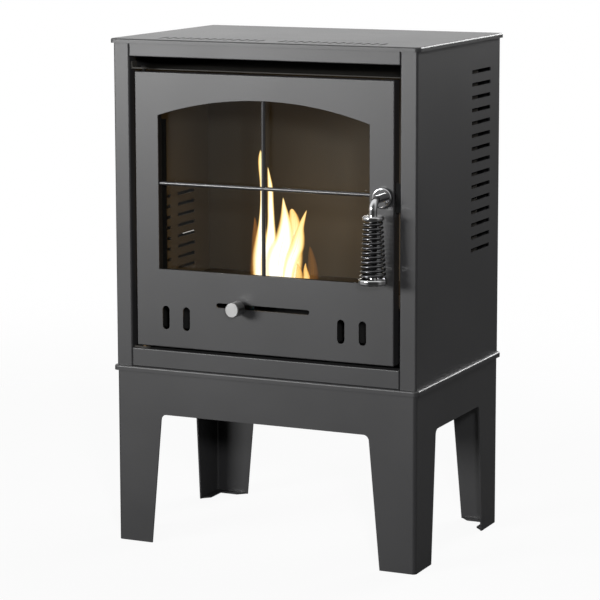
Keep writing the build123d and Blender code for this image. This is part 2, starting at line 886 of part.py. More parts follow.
# Sealing strip between the frame's flange and the glass
with BuildPart() as glass_gasket:
    with BuildSketch(behind(frame_back)):
        add(window_outline(gasket_inset + gasket_width))
        add(window_outline(gasket_inset), mode=Mode.SUBTRACT)
    extrude(amount=-gasket_thickness)
save(glass_gasket, "glass_gasket")

with BuildPart() as door_glass:
    glass_height = window_side_height + window_rise + 2 * glass_margin
    with BuildSketch(behind(glass_front)):
        with Locations((0, sill - glass_margin + glass_height / 2)):
            Rectangle(window_width + 2 * glass_margin, glass_height)
    extrude(amount=-glass_thickness)
save(door_glass, "door_glass")

# Stepped rails that clamp the glass at its left and right edges
glass_rail_line = [
    (-glass_edge - glass_rail_foot, frame_back),
    (-glass_edge, frame_back),
    (-glass_edge, glass_back),
    (glass_rail_inset - window_half, glass_back),
]
for rail_name, line in (
    ("left", glass_rail_line),
    ("right", mirrored_points(glass_rail_line)),
):
    with BuildPart() as glass_rail:
        with BuildSketch(level(sill - glass_rail_end)):
            add(folded_sheet(line, glass_rail_sheet))
        extrude(amount=window_side_height)
        with BuildSketch(behind(frame_back)):
            with Locations((0, rail_screw_z)):
                with GridLocations(2 * rail_screw_x, rail_screw_pitch, 2, rail_screw_count):
                    Circle(rail_screw_radius)
        extrude(amount=-glass_rail_sheet, mode=Mode.SUBTRACT)
    save(glass_rail, f"glass_rail_{rail_name}")

with BuildPart() as glass_rail_screws:
    with BuildSketch(behind(frame_back + glass_rail_sheet)):
        with Locations((0, rail_screw_z)):
            with GridLocations(2 * rail_screw_x, rail_screw_pitch, 2, rail_screw_count):
                Circle(rail_screw_head)
    extrude(amount=-rail_screw_height)
    with BuildSketch(behind(frame_back - frame_sheet)):
        with Locations((0, rail_screw_z)):
            with GridLocations(2 * rail_screw_x, rail_screw_pitch, 2, rail_screw_count):
                Circle(rail_screw_radius)
    extrude(amount=-frame_sheet - glass_rail_sheet)
save(glass_rail_screws, "glass_rail_screws")

# Handle rosette: a thick rounded disc that bears the handle's rod
with BuildPart() as handle_rosette:
    with BuildSketch(face):
        with Locations((handle_x, handle_z)):
            Circle(rosette_radius)
            Circle(handle_rod_radius + pin_fit, mode=Mode.SUBTRACT)
    extrude(amount=rosette_thickness)
    front_edges = handle_rosette.edges().group_by(Axis.Y)[0]
    fillet(front_edges.sort_by(SortBy.RADIUS)[-1], rosette_thickness / 3)
save(handle_rosette, "handle_rosette")

# Handle rod: from the cam out through the rosette, round a bend and down through the grip
handle_section = section.offset(handle_x)
rod_back = cam_depth
with BuildPart() as handle_rod:
    with BuildLine(handle_section) as rod_path:
        FilletPolyline(
            (rod_back, handle_z),
            (-handle_standoff, handle_z),
            (-handle_standoff, grip_bottom + cap_lower_height / 3),
            radius=handle_bend,
        )
    with BuildSketch(behind(rod_back)):
        with Locations((handle_x, handle_z)):
            Circle(handle_rod_radius)
    sweep(path=rod_path.line)
    with BuildSketch(behind(cam_depth)):
        with Locations((handle_x, handle_z)):
            Rectangle(spindle_square, spindle_square)
    extrude(amount=-cam_sheet)
    with BuildSketch(behind(cam_depth + cam_sheet)):
        with Locations((handle_x, handle_z)):
            Circle(stub_radius)
    extrude(amount=-nut_height - cam_fit)
save(handle_rod, "handle_rod")

# Caps at the two ends of the coil, turned as thick rounded discs on the rod
grip_axis = Plane((handle_x, front - handle_standoff, 0))
with BuildPart() as grip_cap_upper:
    with BuildSketch(grip_axis.offset(coil_top)):
        Circle(cap_upper_radius)
    extrude(amount=cap_upper_height)
    fillet(grip_cap_upper.edges(), cap_edge_radius)
    with BuildSketch(grip_axis.offset(coil_top)):
        Circle(handle_rod_radius)
    extrude(amount=cap_upper_height, mode=Mode.SUBTRACT)
save(grip_cap_upper, "grip_cap_upper")

with BuildPart() as grip_cap_lower:
    with BuildSketch(grip_axis.offset(grip_bottom)):
        Circle(cap_lower_radius)
    extrude(amount=cap_lower_height)
    fillet(grip_cap_lower.edges(), cap_edge_radius)
    with BuildSketch(grip_axis.offset(grip_bottom + cap_lower_height / 3)):
        Circle(handle_rod_radius)
    extrude(amount=cap_lower_height, mode=Mode.SUBTRACT)
save(grip_cap_lower, "grip_cap_lower")

# Coil grip: round wire wound on a cone, its end turns ground flat on the caps
with BuildPart() as grip_coil:
    coil_height = coil_top - coil_bottom
    coil_taper = degrees(atan((coil_lower_radius - coil_upper_radius) / coil_height))
    with BuildLine():
        coil_path = Helix(
            pitch=coil_height / coil_turns,
            height=coil_height,
            radius=coil_lower_radius,
            center=(handle_x, front - handle_standoff, coil_bottom),
            cone_angle=-coil_taper,
        )
    with BuildSketch(Plane(origin=coil_path @ 0, z_dir=coil_path % 0)):
        Circle(wire_radius)
    sweep(path=coil_path, is_frenet=True)
    with BuildSketch(grip_axis.offset(coil_bottom)):
        Circle(cap_lower_radius)
    extrude(amount=coil_height, mode=Mode.INTERSECT)
save(grip_coil, "grip_coil")

# Latch cam: a hub on the rod's square with a tongue that reaches behind the keeper
with BuildPart() as latch_cam:
    with BuildSketch(behind(cam_depth)):
        with Locations((handle_x, handle_z)):
            Circle(cam_hub_radius)
        with Locations((handle_x + (cam_reach - cam_width / 2) / 2, handle_z)):
            Rectangle(cam_reach - cam_width / 2, cam_width)
        with Locations((handle_x + cam_reach - cam_width / 2, handle_z)):
            Circle(cam_width / 2)
        with Locations((handle_x, handle_z)):
            Rectangle(spindle_square + 2 * cam_fit, spindle_square + 2 * cam_fit, mode=Mode.SUBTRACT)
    extrude(amount=-cam_sheet)
save(latch_cam, "latch_cam")

with BuildPart() as cam_nut:
    with BuildSketch(behind(cam_depth + cam_sheet)):
        with Locations((handle_x, handle_z)):
            RegularPolygon(nut_flats / 2, 6, major_radius=False)
            Circle(stub_radius, mode=Mode.SUBTRACT)
    extrude(amount=-nut_height)
save(cam_nut, "cam_nut")

# Keeper on the right stile's return, its lip standing in front of the cam's tongue
keeper_front = cam_depth - keeper_play - keeper_sheet
with BuildPart() as latch_keeper:
    with BuildSketch(level(handle_z - keeper_height / 2)):
        keeper_line = [
            (opening_half - keeper_lip, keeper_front),
            (opening_half, keeper_front),
            (opening_half, stile_return),
        ]
        add(folded_sheet(keeper_line, keeper_sheet))
    extrude(amount=keeper_height)
save(latch_keeper, "latch_keeper")

# Guide strips behind the door, spot welded above and below the regulator slot
guide_half = slide_travel + carriage_width / 2 + guide_overrun
guide_inner = regulator_z + carriage_height / 2 + slide_clearance
with BuildPart() as slider_guides:
    with BuildSketch(section.offset(-guide_half)):
        strip_line = [
            (door_sheet, guide_inner + guide_sheet + guide_flange),
            (door_sheet, guide_inner),
            (carriage_back + slide_clearance, guide_inner),
            (carriage_back + slide_clearance, guide_inner - guide_lip),
        ]
        add(folded_sheet(strip_line, guide_sheet))
        mirror(about=Plane.XZ.offset(-regulator_z))
    extrude(amount=2 * guide_half)
save(slider_guides, "slider_guides")

# Carriage plate, with the stem riveted in it
with BuildPart() as slider_carriage:
    with BuildSketch(behind(carriage_front)):
        with Locations((knob_rest, regulator_z)):
            RectangleRounded(carriage_width, carriage_height, stem_radius)
            Circle(stem_radius, mode=Mode.SUBTRACT)
    extrude(amount=-carriage_sheet)
save(slider_carriage, "slider_carriage")

with BuildPart() as slider_stem:
    with BuildSketch(behind(carriage_back)):
        with Locations((knob_rest, regulator_z)):
            Circle(stem_radius)
    extrude(amount=carriage_back + knob_gap + stem_grip)
save(slider_stem, "slider_stem")

# Turned knob, bored for the stem
with BuildPart() as regulator_knob:
    with BuildSketch(behind(-knob_gap)):
        with Locations((knob_rest, regulator_z)):
            Circle(knob_radius)
    extrude(amount=knob_length)
    chamfer(regulator_knob.edges(), knob_chamfer)
    with BuildSketch(behind(-knob_gap)):
        with Locations((knob_rest, regulator_z)):
            Circle(stem_radius)
    extrude(amount=stem_grip, mode=Mode.SUBTRACT)
save(regulator_knob, "regulator_knob")

# Arm on the carriage: a folded strip whose rear end is the tongue in the lid's fork
riser_depth = carriage_back + slide_clearance + guide_sheet + 2 * tongue_clearance
tongue_end = fork_front + fork_engagement
with BuildPart() as slider_arm:
    with BuildSketch(section.offset(knob_rest - tongue_width / 2)):
        tongue_line = [
            (tongue_end, tongue_bottom + tongue_sheet),
            (riser_depth, tongue_bottom + tongue_sheet),
            (riser_depth, regulator_z + stem_radius + tongue_sheet),
            (carriage_back, regulator_z + stem_radius + tongue_sheet),
            (carriage_back, regulator_z - stem_radius - tongue_sheet),
        ]
        add(folded_sheet(tongue_line, tongue_sheet))
    extrude(amount=tongue_width)
save(slider_arm, "slider_arm")
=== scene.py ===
import math

import bmesh
import bpy
from mathutils import Matrix, Vector


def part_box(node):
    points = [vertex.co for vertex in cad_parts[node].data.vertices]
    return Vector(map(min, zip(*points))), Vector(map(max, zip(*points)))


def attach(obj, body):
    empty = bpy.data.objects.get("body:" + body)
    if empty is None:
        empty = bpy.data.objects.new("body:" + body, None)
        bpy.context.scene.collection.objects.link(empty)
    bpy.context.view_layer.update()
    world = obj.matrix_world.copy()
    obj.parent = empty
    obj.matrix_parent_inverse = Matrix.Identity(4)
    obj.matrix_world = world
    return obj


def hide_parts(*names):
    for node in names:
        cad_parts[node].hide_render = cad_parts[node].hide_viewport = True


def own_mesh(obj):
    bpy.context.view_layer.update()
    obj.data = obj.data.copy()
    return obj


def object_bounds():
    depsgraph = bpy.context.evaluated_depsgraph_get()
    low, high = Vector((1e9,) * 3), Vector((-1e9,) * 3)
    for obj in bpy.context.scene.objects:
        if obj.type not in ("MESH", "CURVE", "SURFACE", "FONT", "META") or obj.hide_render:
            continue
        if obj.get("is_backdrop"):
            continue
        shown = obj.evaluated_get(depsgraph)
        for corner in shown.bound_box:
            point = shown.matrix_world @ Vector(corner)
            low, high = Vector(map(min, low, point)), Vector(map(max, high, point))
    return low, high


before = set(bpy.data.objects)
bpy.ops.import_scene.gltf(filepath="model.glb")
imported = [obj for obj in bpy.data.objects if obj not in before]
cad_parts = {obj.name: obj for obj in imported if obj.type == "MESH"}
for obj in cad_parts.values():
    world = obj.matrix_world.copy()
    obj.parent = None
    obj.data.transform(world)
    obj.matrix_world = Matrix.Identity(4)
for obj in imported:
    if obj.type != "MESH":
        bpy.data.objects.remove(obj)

cad_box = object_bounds()

# Stand: one skirt of 2.5 mm sheet, folded into four tapered legs with inward feet, and the
# pressed plate on it. Both carry the stove's charcoal paint: a matt powder coat with a fine
# grain, a little uneven in its gloss.


class Signal:
    """One output of a shader node, so that shader maths can be written as an expression."""

    def __init__(self, finish, socket):
        self.finish = finish
        self.socket = socket

    def maths(self, operation, *values):
        return self.finish.node("Math", {"operation": operation}, dict(enumerate(values)))

    def __add__(self, other):
        return self.maths("ADD", self, other)

    def __radd__(self, other):
        return self.maths("ADD", other, self)

    def __sub__(self, other):
        return self.maths("SUBTRACT", self, other)

    def __rsub__(self, other):
        return self.maths("SUBTRACT", other, self)

    def __mul__(self, other):
        return self.maths("MULTIPLY", self, other)

    def __rmul__(self, other):
        return self.maths("MULTIPLY", other, self)

    def __pow__(self, other):
        return self.maths("POWER", self, other)


class Finish:
    """A material, or the studio's world, whose nodes are added one at a time."""

    def __init__(self, owner):
        owner.use_nodes = True
        self.owner = owner
        self.tree = owner.node_tree
        self.shader = self.tree.nodes.get("Principled BSDF")

    def join(self, value, socket):
        if isinstance(value, Signal):
            self.tree.links.new(value.socket, socket)
        else:
            socket.default_value = value

    def node(self, kind, settings, values, output=0):
        made = self.tree.nodes.new("ShaderNode" + kind)
        for name, setting in settings.items():
            if name == "stops":
                stops = made.color_ramp.elements
                while len(stops) < len(setting):
                    stops.new(1.0)
                for stop, (place, colour) in zip(stops, setting):
                    stop.position = place
                    stop.color = colour
            else:
                setattr(made, name, setting)
        for name, value in values.items():
            self.join(value, made.inputs[name])
        return Signal(self, made.outputs[output])

    def blend(self, share, first, second):
        return self.node("Mix", {"data_type": "RGBA"}, {0: share, 6: first, 7: second}, 2)

    def noise(self, place, scale, detail=2.0, roughness=0.5):
        return self.node(
            "TexNoise", {}, {"Vector": place, "Scale": scale, "Detail": detail, "Roughness": roughness}
        )

    def stretched(self, scales, turn=(0.0, 0.0, 0.0)):
        place = self.node("TexCoord", {}, {}, "Object")
        return self.node("Mapping", {}, {"Vector": place, "Rotation": turn, "Scale": scales})

    def smooth(self, value, low, high):
        return self.node(
            "MapRange",
            {"interpolation_type": "SMOOTHSTEP"},
            {"Value": value, "From Min": low, "From Max": high},
        )

    def relief(self, height, depth, strength):
        values = {"Height": height, "Distance": depth, "Strength": strength}
        return self.node("Bump", {}, values)

    def surface(self, **values):
        for name, value in values.items():
            self.join(value, self.shader.inputs[name.replace("_", " ")])


def grey(level, red=1.0, blue=1.0):
    return (level * red, level, level * blue, 1.0)


def powder_coat(name, colour, spread, dull, shine, grit=0.3):
    """Sheet-metal paint: colour, how much it clouds, its roughness, its mirroring, its grit."""
    coat = Finish(bpy.data.materials.new(name))
    place = coat.stretched((1.0, 1.0, 1.0))
    cloud = coat.noise(place, 7.0, 3.0)
    grain = coat.noise(place, 1100.0, 2.0)
    peel = coat.noise(place, 240.0, 1.0)
    tone = coat.smooth(cloud + 0.25 * (grain - 0.5), 0.3, 0.7)
    low = tuple(channel * (1 - spread) for channel in colour[:3]) + (1.0,)
    high = tuple(channel * (1 + spread) for channel in colour[:3]) + (1.0,)
    relief = coat.relief(grain + 0.8 * peel, 0.00012, grit)
    coat.surface(Base_Color=coat.blend(tone, low, high), Normal=relief)
    coat.surface(Roughness=dull + 0.1 * (cloud - 0.5) + 0.12 * (grain - 0.5))
    coat.shader.inputs["Specular IOR Level"].default_value = shine
    return coat.owner


def dress(finish, *names):
    """Puts a finish on CAD nodes."""
    for name in names:
        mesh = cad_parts[name].data
        mesh.materials.clear()
        mesh.materials.append(finish)


charcoal = grey(0.026, 1.0, 1.04)
charcoal_paint = powder_coat("charcoal paint", charcoal, 0.05, 0.42, 0.8)
dress(charcoal_paint, "stand_frame", "stand_top_plate")

# Hexagon bolts that hold body and stand together: zinc-plated steel, faintly blue, clouded
# in patches as plating is. The small parts that slide behind the door are plated black.


def plated(name, colour, dull):
    plating = Finish(bpy.data.materials.new(name))
    place = plating.stretched((1.0, 1.0, 1.0))
    patches = plating.node("TexVoronoi", {}, {"Vector": place, "Scale": 170.0}, "Color")
    cloud = plating.noise(place, 60.0, 3.0)
    dark = tuple(0.72 * channel for channel in colour[:3]) + (1.0,)
    tone = plating.blend(0.35, plating.blend(cloud, dark, colour), patches)
    mottled = plating.blend(0.8, tone, plating.blend(cloud, dark, colour))
    plating.surface(Base_Color=mottled, Metallic=1.0, Roughness=dull + 0.22 * (cloud - 0.5))
    plating.surface(Normal=plating.relief(cloud, 0.0001, 0.5))
    return plating.owner


zinc_plating = plated("zinc plating", (0.44, 0.45, 0.46, 1.0), 0.36)
black_plating = plated("black zinc plating", (0.03, 0.03, 0.032, 1.0), 0.45)
dress(zinc_plating, "body_bolts")

# Body: side panels with their ladders of air slots, the rails between the stiles, back
# panel and top plate, all 2 mm sheet in the same charcoal paint.
dress(charcoal_paint, "side_panel_left", "side_panel_right", "top_rail", "bottom_rail")
dress(charcoal_paint, "back_panel", "top_plate")

# Pan-head screws with a cross recess, zinc plated, that hold the back panel to the flanges
# of the side panels: five up each side.
screw_head_radius = 0.0034
screw_head_height = 0.002
recess_reach = 0.0017
recess_width = 0.0007
back_screw_rows = 5


def pan_head(radius, height, reach, width):
    """A screw head that stands on z = 0: domed, with a cross-shaped recess cut in it."""
    profile = [(radius, 0.0), (radius, 0.35 * height), (0.92 * radius, 0.66 * height)]
    profile += [(0.72 * radius, 0.86 * height), (0.42 * radius, 0.97 * height), (0.0, height)]
    shape = bmesh.new()
    centre = shape.verts.new((0.0, 0.0, 0.0))
    for out, up in profile:
        shape.verts.new((out, 0.0, up))
    shape.verts.ensure_lookup_table()
    edges = [shape.edges.new(shape.verts[i : i + 2]) for i in range(len(profile))]
    bmesh.ops.spin(
        shape,
        geom=list(shape.verts) + edges,
        axis=(0, 0, 1),
        cent=centre.co,
        angle=2 * math.pi,
        steps=24,
        use_merge=True,
    )
    bmesh.ops.remove_doubles(shape, verts=shape.verts, dist=1e-6)
    bmesh.ops.recalc_face_normals(shape, faces=shape.faces)
    mesh = bpy.data.meshes.new("pan_head")
    shape.to_mesh(mesh)
    shape.free()
    cross = bmesh.new()
    for across, along in ((width, reach), (reach, width)):
        bar = bmesh.ops.create_cube(cross, size=2.0)["verts"]
        bmesh.ops.scale(cross, vec=(across, along, 0.75 * height), verts=bar)
        bmesh.ops.translate(cross, vec=(0, 0, 1.25 * height), verts=bar)
    cutter = bpy.data.meshes.new("recess")
    cross.to_mesh(cutter)
    cross.free()
    head = bpy.data.objects.new("pan_head", mesh)
    tool = bpy.data.objects.new("recess", cutter)
    for thing in (head, tool):
        bpy.context.scene.collection.objects.link(thing)
    cut = head.modifiers.new("recess", "BOOLEAN")
    cut.operation = "DIFFERENCE"
    cut.object = tool
    cut.use_self = True
    made = bpy.data.meshes.new_from_object(head.evaluated_get(bpy.context.evaluated_depsgraph_get()))
    head.modifiers.clear()
    head.data = made
    bpy.data.objects.remove(tool)
    return head


def fastener_tree():
    """Geometry nodes that set one fastener out in columns and rows on the XZ plane."""
    tree = bpy.data.node_groups.new("fastener rows", "GeometryNodeTree")
    sockets = (
        ("Columns", "NodeSocketInt"),
        ("Rows", "NodeSocketInt"),
        ("Width", "NodeSocketFloat"),
        ("Height", "NodeSocketFloat"),
        ("Place", "NodeSocketVector"),
        ("Fastener", "NodeSocketObject"),
        ("Finish", "NodeSocketMaterial"),
    )
    for name, kind in sockets:
        tree.interface.new_socket(name, in_out="INPUT", socket_type=kind)
    tree.interface.new_socket("Geometry", in_out="OUTPUT", socket_type="NodeSocketGeometry")
    entry = tree.nodes.new("NodeGroupInput")
    grid = tree.nodes.new("GeometryNodeMeshGrid")
    lay = tree.nodes.new("GeometryNodeTransform")
    lay.inputs["Rotation"].default_value = (math.pi / 2, 0.0, 0.0)
    info = tree.nodes.new("GeometryNodeObjectInfo")
    place = tree.nodes.new("GeometryNodeInstanceOnPoints")
    spin = tree.nodes.new("GeometryNodeRotateInstances")
    whole = tree.nodes.new("GeometryNodeRealizeInstances")
    paint = tree.nodes.new("GeometryNodeSetMaterial")
    leave = tree.nodes.new("NodeGroupOutput")
    link = tree.links.new
    link(entry.outputs["Columns"], grid.inputs["Vertices X"])
    link(entry.outputs["Rows"], grid.inputs["Vertices Y"])
    link(entry.outputs["Width"], grid.inputs["Size X"])
    link(entry.outputs["Height"], grid.inputs["Size Y"])
    link(grid.outputs["Mesh"], lay.inputs["Geometry"])
    link(entry.outputs["Place"], lay.inputs["Translation"])
    link(lay.outputs["Geometry"], place.inputs["Points"])
    link(entry.outputs["Fastener"], info.inputs["Object"])
    link(info.outputs["Geometry"], place.inputs["Instance"])
    link(place.outputs["Instances"], spin.inputs["Instances"])
    spin.inputs["Rotation"].default_value = (-math.pi / 2, 0.0, 0.0)
    link(spin.outputs["Instances"], whole.inputs["Geometry"])
    link(whole.outputs["Geometry"], paint.inputs["Geometry"])
    link(entry.outputs["Finish"], paint.inputs["Material"])
    link(paint.outputs["Geometry"], leave.inputs["Geometry"])
    return tree


def fastener_rows(tree, name, body, slot, **inputs):
    """Sets out the rows as one plain mesh that rides on a body."""
    holder = bpy.data.objects.new("rows", bpy.data.meshes.new("rows"))
    bpy.context.scene.collection.objects.link(holder)
    rows = holder.modifiers.new("rows", "NODES")
    rows.node_group = tree
    for item in tree.interface.items_tree:
        if item.in_out == "INPUT":
            rows[item.identifier] = inputs[item.name]
    bpy.context.view_layer.update()
    graph = bpy.context.evaluated_depsgraph_get()
    piece = bpy.data.objects.new(name, bpy.data.meshes.new_from_object(holder.evaluated_get(graph)))
    bpy.context.scene.collection.objects.link(piece)
    holder.modifiers.clear()
    bpy.data.objects.remove(holder)
    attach(piece, body)
    return piece


fastener_rows_tree = fastener_tree()
back_low, back_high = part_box("back_panel_screws")
back_screw = pan_head(screw_head_radius, screw_head_height, recess_reach, recess_width)
dress(zinc_plating, "back_panel_screws", "glass_rail_screws")
back_panel_screw_heads = fastener_rows(
    fastener_rows_tree,
    "back_panel_screw_heads",
    "cabinet",
    "zinc_steel",
    Columns=2,
    Rows=back_screw_rows,
    Width=back_high[0] - back_low[0] - 2 * screw_head_radius,
    Height=back_high[2] - back_low[2] - 2 * screw_head_radius,
    Place=(0.0, back_high[1] - screw_head_height, (back_low[2] + back_high[2]) / 2),
    Fastener=back_screw,
    Finish=zinc_plating,
)
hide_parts("back_panel_screws")
bpy.data.objects.remove(back_screw)

# Firebox: slotted side liners, plain back, plain roof sheet and the deck that carries the
# burner, in black paint that the heat has dulled and browned a little. The floor pan below
# it, the hinge pins and the latch keeper have a plain matt black paint.
firebox_paint = powder_coat("heat-proof black paint", grey(0.035, 1.06, 0.9), 0.1, 0.6, 0.25, 0.05)
dress(firebox_paint, "firebox_liner_left", "firebox_liner_right", "firebox_back", "firebox_roof")
dress(firebox_paint, "burner_deck", "hinge_bracket_upper", "hinge_bracket_lower")
frame_paint = powder_coat("matt black paint", grey(0.009), 0.1, 0.75, 0.1, 0.05)
dress(frame_paint, "hinge_pin_upper", "hinge_pin_lower", "latch_keeper", "floor_pan")

# Burner: a fuel tank in the near-black matt finish, and a burner top with its long mouth, sliding
# lid, arm and guides in brushed stainless sheet, whose grain runs from side to side. The steel
# has turned straw-coloured near the flame.


def brushed(name, colour, scales, dull, heat=None):
    """Brushed metal whose grain runs along the axis with the small scale."""
    metal = Finish(bpy.data.materials.new(name))
    lines = metal.noise(metal.stretched(scales), 1.0, 3.0, 0.65)
    cloud = metal.noise(metal.stretched((1.0, 1.0, 1.0)), 22.0, 3.0)
    dark = tuple(0.78 * channel for channel in colour[:3]) + (1.0,)
    base = metal.blend(lines, dark, colour)
    if heat is not None:
        centre, reach, tint = heat
        place = metal.node("TexCoord", {}, {}, "Object")
        gap = metal.node(
            "VectorMath", {"operation": "DISTANCE"}, {0: place, 1: centre}, "Value"
        )
        warmth = 1 - metal.smooth(gap + 0.03 * (cloud - 0.5), 0.5 * reach, reach)
        base = metal.blend(warmth * 0.8, base, tint)
    uneven = 0.2 * (lines - 0.5) + 0.1 * (cloud - 0.5)
    metal.surface(Base_Color=base, Metallic=1.0, Roughness=dull + uneven)
    metal.surface(Normal=metal.relief(lines, 0.00006, 0.6))
    return metal.owner


burner_steel = brushed(
    "burner stainless steel",
    (0.5, 0.5, 0.49, 1.0),
    (30.0, 2600.0, 2600.0),
    0.33,
    ((-0.004, -0.0605, 0.394), 0.11, (0.42, 0.31, 0.16, 1.0)),
)
dress(frame_paint, "burner_tank")
dress(burner_steel, "burner_top", "lid_guides", "burner_lid", "lid_arm")

# Ceramic wool in the tank, which soaks up the fuel: a felted white pad cut to the tank's
# inside, sooty where it burns.
wool = Finish(bpy.data.materials.new("ceramic wool"))
fibres = wool.noise(wool.stretched((900.0, 2400.0, 2400.0), (0.3, 0.2, 0.6)), 1.0, 4.0, 0.7)
lumps = wool.noise(wool.stretched((1.0, 1.0, 1.0)), 130.0, 4.0)
soot = wool.smooth(lumps, 0.45, 0.8)
wool.surface(Base_Color=wool.blend(soot, grey(0.74, 1.02, 0.94), grey(0.3, 1.1, 0.8)))
wool.surface(Roughness=0.95, Normal=wool.relief(lumps + 0.5 * fibres, 0.0015, 0.8))
dress(wool.owner, "burner_wool")

# Flame over the mouth, as it stands at rest. Each tongue is two thin lens-shaped sheets
# that cross on one wandering line.
flame_depth = -0.0605
lens_turns = (25.0, 115.0)
lens_thickness = 0.16
ring_points = 20
tongue_rings = 40
least_half_width = 0.3
sway_reach = 1.6
tongues = (
    # how hot, y offset, then (x, z, half width) in mm from the mouth upwards
    (
        0.95,
        4,
        (
            (-42, 394, 12), (-44, 425, 14), (-44, 450, 14), (-43, 472, 11), (-42, 500, 5.6),
            (-42, 530, 2.6), (-42, 560, 3.2), (-43, 585, 5.0), (-43.5, 600, 4.6), (-44, 613, 0.4),
        ),
    ),
    (
        1.0,
        0,
        (
            (-27, 394, 15), (-27, 440, 16), (-25, 470, 11), (-24, 500, 6.6), (-25, 530, 5.4),
            (-26, 555, 4.6), (-28, 573, 2.6), (-29.5, 588, 0.3),
        ),
    ),
    (
        1.0,
        -3,
        (
            (-6, 394, 22), (-8, 430, 27), (-6, 455, 25), (-1, 478, 17), (1, 498, 12), (0, 514, 7.6),
            (-1.5, 528, 4.0), (-2.5, 543, 0.3),
        ),
    ),
    (
        0.75,
        7,
        (
            (4, 394, 14), (8, 440, 17), (10, 470, 15), (12, 490, 12.5), (12, 504, 10),
            (10.5, 514, 7.5), (8, 521, 4.4), (7, 524, 1.2),
        ),
    ),
    (
        0.85,
        -6,
        (
            (2, 394, 9), (8, 430, 10.5), (15, 452, 12.5), (21, 466, 13), (25, 481, 10.5),
            (28, 497, 6), (32, 511, 3.7), (38, 526, 0.3),
        ),
    ),
    (
        0.6,
        2,
        (
            (33, 394, 8), (34, 418, 6.4), (33, 431, 4), (33, 443, 0.3),
        ),
    ),
    (
        0.22,
        -4,
        (
            (44, 394, 10), (47, 420, 11), (47, 441, 8.5), (44, 459, 4.6), (42, 470, 0.3),
        ),
    ),
    (
        0.5,
        8,
        (
            (19, 394, 9), (19, 420, 7), (18, 432, 4), (17, 441, 0.3),
        ),
    ),
    (
        0.26,
        -9,
        (
            (-47, 394, 6), (-48, 425, 8), (-47, 455, 7), (-47, 482, 6), (-48, 512, 0.4),
        ),
    ),
)


def along(points, share):
    """A smooth course through the points, and its half width, at a share of its length."""
    spans = len(points) - 1
    place = min(share * spans, spans - 1e-6)
    i = int(place)
    t = place - i
    before, start = points[max(i - 1, 0)], points[i]
    end, after = points[i + 1], points[min(i + 2, spans)]
    return [
        0.5
        * (
            2 * b
            + (c - a) * t
            + (2 * a - 5 * b + 4 * c - d) * t * t
            + (3 * b - a - 3 * c + d) * t * t * t
        )
        for a, b, c, d in zip(before, start, end, after)
    ]


places, walls, looks = [], [], {"hotness": [], "across": [], "up": []}
for heat, offset, points in tongues:
    for turn in lens_turns:
        side = Vector((math.cos(math.radians(turn)), math.sin(math.radians(turn)), 0.0))
        thick = Vector((-side.y, side.x, 0.0)) * lens_thickness
        first = len(places)
        for step in range(tongue_rings + 1):
            share = step / tongue_rings
            x, z, half = along(points, share)
            sway = sway_reach * share * math.sin(7 * share + turn + heat * 9)
            centre = Vector((x, 1000 * flame_depth + offset + sway, z))
            for k in range(ring_points):
                angle = 2 * math.pi * k / ring_points
                out = side * math.cos(angle) + thick * math.sin(angle)
                places.append((centre + out * max(half, least_half_width)) / 1000)
                looks["hotness"].append(heat)
                looks["across"].append(abs(math.cos(angle)))
                looks["up"].append(share)
        for step in range(tongue_rings):
            low = first + step * ring_points
            for k in range(ring_points):
                after = (k + 1) % ring_points
                high = low + ring_points
                walls.append((low + k, low + after, high + after, high + k))
        walls.append(tuple(first + k for k in reversed(range(ring_points))))
        walls.append(tuple(first + tongue_rings * ring_points + k for k in range(ring_points)))
mesh = bpy.data.meshes.new("flame")
mesh.from_pydata(places, [], walls)
for name, values in looks.items():
    mesh.attributes.new(name, "FLOAT", "POINT").data.foreach_set("value", values)
mesh.shade_smooth()
flame = bpy.data.objects.new("flame", mesh)
flame.visible_shadow = False
bpy.context.scene.collection.objects.link(flame)

burning = Finish(bpy.data.materials.new("flame"))
heat = burning.node("Attribute", {"attribute_name": "hotness"}, {}, "Fac")
across = burning.node("Attribute", {"attribute_name": "across"}, {}, "Fac")
up = burning.node("Attribute", {"attribute_name": "up"}, {}, "Fac")
licks = burning.noise(burning.stretched((40.0, 40.0, 14.0)), 1.0, 2.0)
inward = 1 - across ** 2.0
glow = inward * heat ** 1.6 * (1.45 - 0.8 * up) + 0.2 * (licks - 0.5)
colour = burning.node(
    "ValToRGB",
    {
        "stops": (
            (0.0, (0.5, 0.16, 0.03, 1.0)),
            (0.14, (0.68, 0.3, 0.06, 1.0)),
            (0.36, (0.85, 0.53, 0.16, 1.0)),
            (0.66, (0.95, 0.78, 0.38, 1.0)),
            (0.95, (1.0, 1.0, 0.93, 1.0)),
        )
    },
    {0: glow},
)
tip = 1 - burning.smooth(up, 0.93, 1.0)
foot = burning.smooth(up, 0.0, 0.05)
burning.surface(Emission_Color=colour, Emission_Strength=1.7)
burning.surface(Base_Color=grey(0.0), Roughness=1.0)
solid = burning.smooth(inward, 0.04, 0.8) * burning.smooth(heat, 0.1, 0.8)
burning.surface(Alpha=0.8 * solid * tip * foot)
burning.shader.inputs["Specular IOR Level"].default_value = 0.0
flame.data.materials.append(burning.owner)
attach(flame, "cabinet")
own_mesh(flame)

# Hinge: flanged bushes pressed into the door's edge and a thrust washer on the lower
# bracket, in bronze dark with oil.
bush_bronze = brushed("oiled bronze", (0.16, 0.11, 0.06, 1.0), (800.0, 800.0, 800.0), 0.4)
dress(bush_bronze, "thrust_washer", "hinge_bush_upper", "hinge_bush_lower")

# Door: a folded tray in the body's paint, with its arched window, the cross of 6 mm bars
# that is welded in it, a little glossier, and the matt black frame and rails that carry the
# glass behind it.
dress(charcoal_paint, "door_panel")
dress(powder_coat("bar paint", grey(0.03, 1.0, 1.04), 0.05, 0.24, 0.9, 0.05), "glazing_bars")
dress(frame_paint, "window_frame", "glass_rail_left", "glass_rail_right")

